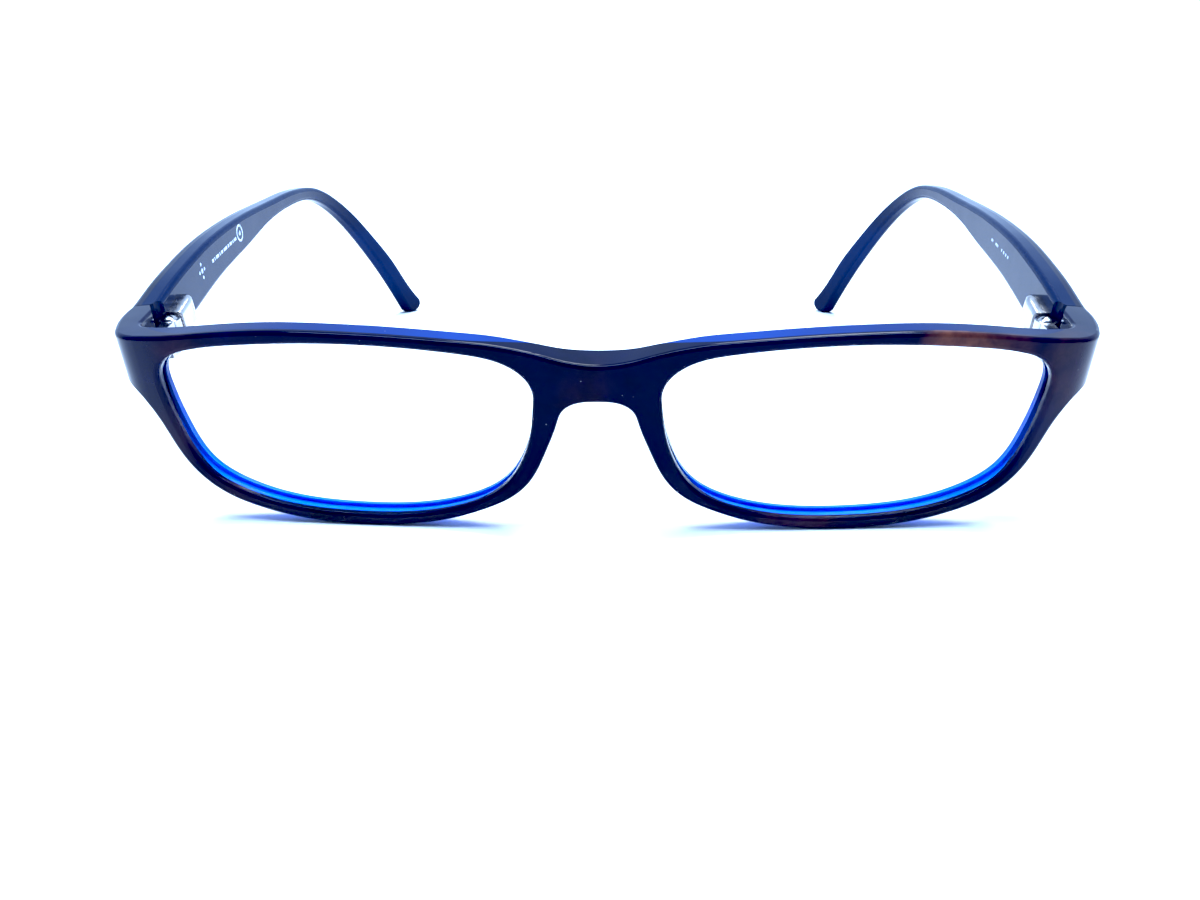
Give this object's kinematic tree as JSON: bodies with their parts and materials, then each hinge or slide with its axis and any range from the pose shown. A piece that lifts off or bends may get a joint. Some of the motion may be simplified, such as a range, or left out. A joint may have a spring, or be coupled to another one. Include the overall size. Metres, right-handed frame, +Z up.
{
  "type": "eyeglasses",
  "caption": "Full-rim prescription eyeglasses: laminated dark and blue acetate front with clear lenses and wrapped corners, bent temples on folding spring hinges.",
  "frame": {"origin": "on the surface the open glasses stand on, under the middle of the whole object", "axes": "+X towards the wearer's left, +Y from the front back to the temple tips, +Z up"},
  "size_m": [0.1434, 0.1342, 0.0377],
  "materials": {
    "acetate_dark": "polished dark mottled acetate, outer layer",
    "acetate_blue": "polished translucent azure acetate, inner layer",
    "acetate_pad": "polished translucent pad",
    "lens_clear": "clear, coated",
    "hinge_plated": "nickel-plated, polished",
    "spring_steel": "drawn wire",
    "bush_brass": "turned"
  },
  "bodies": {
    "front": {"front_outer_layer": "acetate_dark", "front_inner_layer_left": "acetate_blue", "lens_left": "lens_clear", "nose_pad_left": "acetate_pad", "front_hinge_left": "hinge_plated", "front_inner_layer_right": "acetate_blue", "lens_right": "lens_clear", "nose_pad_right": "acetate_pad", "front_hinge_right": "hinge_plated"},
    "screw_left": {"hinge_screw_left": "hinge_plated"},
    "slider_left": {"hinge_slider_left": "hinge_plated", "slider_nut_left": "spring_steel"},
    "temple_left": {"housing_bush_left": "bush_brass", "spring_housing_left": "hinge_plated", "hinge_spring_left": "spring_steel", "temple_outer_layer_left": "acetate_dark", "temple_inner_layer_left": "acetate_blue", "temple_core_wire_left": "spring_steel"},
    "screw_right": {"hinge_screw_right": "hinge_plated"},
    "slider_right": {"hinge_slider_right": "hinge_plated", "slider_nut_right": "spring_steel"},
    "temple_right": {"housing_bush_right": "bush_brass", "spring_housing_right": "hinge_plated", "hinge_spring_right": "spring_steel", "temple_outer_layer_right": "acetate_dark", "temple_inner_layer_right": "acetate_blue", "temple_core_wire_right": "spring_steel"}
  },
  "joints": [
    {"name": "temple_flex_left", "type": "hinge", "parent": "front", "child": "screw_left", "pos_m": [0.0635, -0.0505, 0.02518], "axis": [0, -0.1392, 0.9903], "range_deg": [-8, 0], "stiffness_Nm_per_rad": 0.5},
    {"name": "temple_fold_left", "type": "hinge", "parent": "screw_left", "child": "slider_left", "pos_m": [0.0635, -0.0505, 0.02518], "axis": [0, -0.1392, 0.9903], "range_deg": [0, 93]},
    {"name": "spring_travel_left", "type": "slide", "parent": "slider_left", "child": "temple_left", "axis": [0.097, 0.9656, 0.2413], "range_m": [0, 0.00071], "deforming": ["hinge_spring_left"]},
    {"name": "temple_flex_right", "type": "hinge", "parent": "front", "child": "screw_right", "pos_m": [-0.0635, -0.0505, 0.02518], "axis": [0, 0.1392, -0.9903], "range_deg": [-8, 0], "stiffness_Nm_per_rad": 0.5},
    {"name": "temple_fold_right", "type": "hinge", "parent": "screw_right", "child": "slider_right", "pos_m": [-0.0635, -0.0505, 0.02518], "axis": [0, 0.1392, -0.9903], "range_deg": [0, 76]},
    {"name": "spring_travel_right", "type": "slide", "parent": "slider_right", "child": "temple_right", "axis": [-0.097, 0.9656, 0.2413], "range_m": [0, 0.00071], "deforming": ["hinge_spring_right"]}
  ],
  "couplings": [
    {"joint": "spring_travel_left", "follows": "temple_flex_left", "m_per_rad": -0.005},
    {"joint": "spring_travel_right", "follows": "temple_flex_right", "m_per_rad": -0.005}
  ]
}
